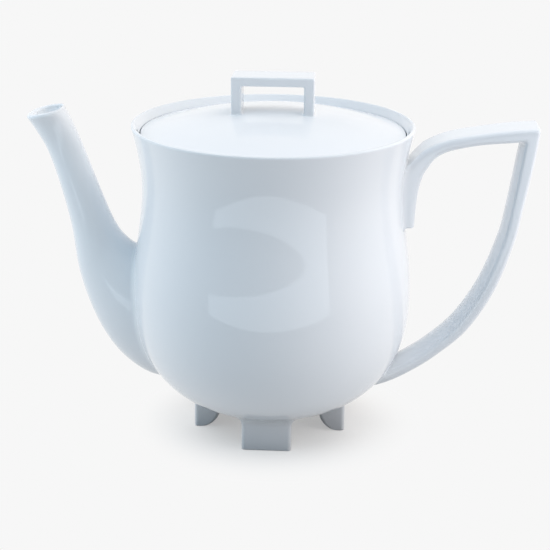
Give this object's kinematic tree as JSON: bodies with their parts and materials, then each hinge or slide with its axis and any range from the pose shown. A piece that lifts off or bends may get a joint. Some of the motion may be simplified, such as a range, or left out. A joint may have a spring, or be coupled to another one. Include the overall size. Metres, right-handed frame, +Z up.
{
  "type": "footed coffee pot",
  "caption": "Bell-shaped glazed porcelain coffee pot with swan-neck spout, square strap handle, block feet and a domed lid with a square arch knob.",
  "frame": {"origin": "under the middle of the outer box, on the surface that the feet stand on", "axes": "+X toward the handle, -X toward the spout, +Z up; the X-Z plane is the plane of symmetry"},
  "size_m": [0.2348, 0.131, 0.1708],
  "materials": {
    "porcelain": "clear gloss glaze over white porcelain"
  },
  "bodies": {
    "pot": {"pot_body": "porcelain", "spout": "porcelain", "handle": "porcelain", "foot_front": "porcelain", "foot_right": "porcelain", "foot_back": "porcelain", "foot_left": "porcelain"},
    "lid": {"lid": "porcelain", "lid_knob": "porcelain"}
  },
  "joints": [
    {"name": "lid_lift", "type": "slide", "parent": "pot", "child": "lid", "axis": [0, 0, 1], "range_m": [0, 0.06]}
  ]
}
